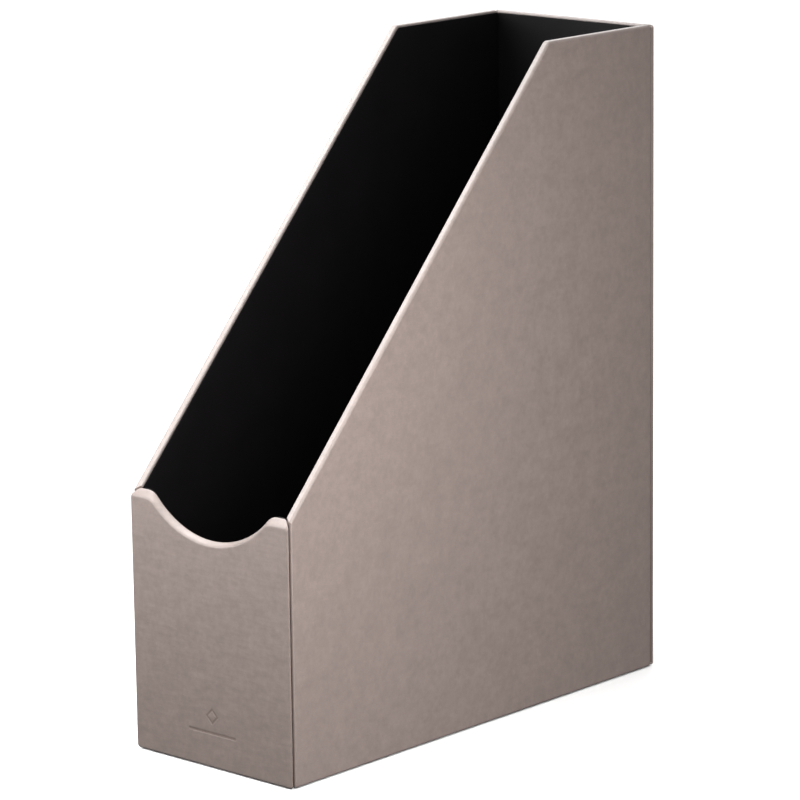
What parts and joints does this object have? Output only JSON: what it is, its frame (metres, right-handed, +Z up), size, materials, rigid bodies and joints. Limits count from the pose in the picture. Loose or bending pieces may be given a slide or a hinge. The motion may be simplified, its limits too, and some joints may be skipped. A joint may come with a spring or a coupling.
{
  "type": "magazine file holder",
  "caption": "Free-standing upright magazine file with covered-board walls, a sloping cut-away front with a thumb scoop, and a dark lining.",
  "frame": {"origin": "middle of the underside, on the surface that the holder stands on", "axes": "+Z up, the low front with the scoop faces -Y, the tall back faces +Y, and +X is on the right hand of someone who looks at the front along +Y"},
  "size_m": [0.1, 0.26, 0.32],
  "materials": {
    "cover": "taupe leatherette, fine grain, low satin sheen with a slight metallic lustre",
    "board": "dense grey-brown fibre board, uncoated",
    "lining": "smooth black lining sheet, soft sheen",
    "tape": "thin dark woven binding tape",
    "underside": "thin black flocked sheet"
  },
  "bodies": {
    "root": {"front_board": "board", "back_board": "board", "left_side_board": "board", "right_side_board": "board", "base_board": "board", "front_cover": "cover", "back_cover": "cover", "left_side_cover": "cover", "right_side_cover": "cover", "front_lining": "lining", "back_lining": "lining", "left_side_lining": "lining", "right_side_lining": "lining", "floor_lining": "lining", "underside_sheet": "underside", "front_left_corner_tape": "tape", "front_right_corner_tape": "tape", "back_left_corner_tape": "tape", "back_right_corner_tape": "tape"}
  },
  "joints": []
}
